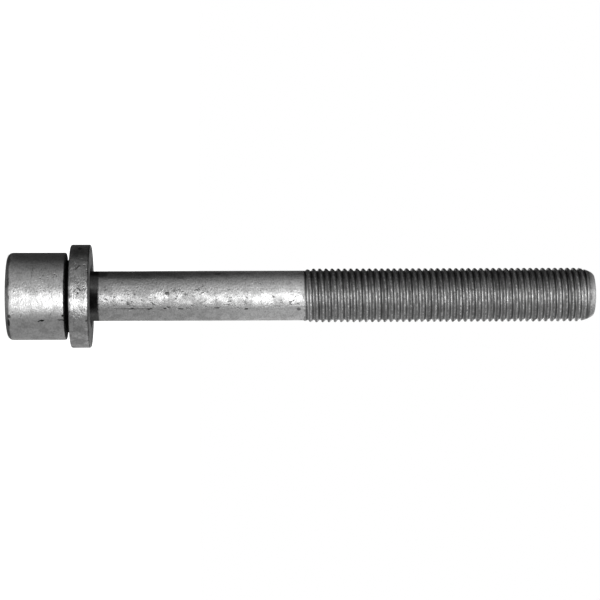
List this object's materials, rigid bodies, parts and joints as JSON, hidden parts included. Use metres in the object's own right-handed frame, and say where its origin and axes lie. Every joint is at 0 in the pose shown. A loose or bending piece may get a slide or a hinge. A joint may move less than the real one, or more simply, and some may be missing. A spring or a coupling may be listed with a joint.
{
  "type": "cylinder head bolt with washer",
  "caption": "Long steel bolt with a plain round socket head, a reduced shank, a fine thread on its far half and a thick loose washer under the head.",
  "frame": {"origin": "middle of the head's drive face, on which the bolt stands", "axes": "+Z along the bolt from the drive face to the tip; +X towards one corner of the drive socket"},
  "size_m": [0.0208, 0.0208, 0.1177],
  "materials": {
    "bolt_steel": "forged and rolled alloy steel, worn grey, darker with oil on the thread",
    "washer_steel": "hardened and tumbled steel, mottled grey"
  },
  "bodies": {
    "root": {"bolt": "bolt_steel", "washer": "washer_steel"}
  },
  "joints": []
}
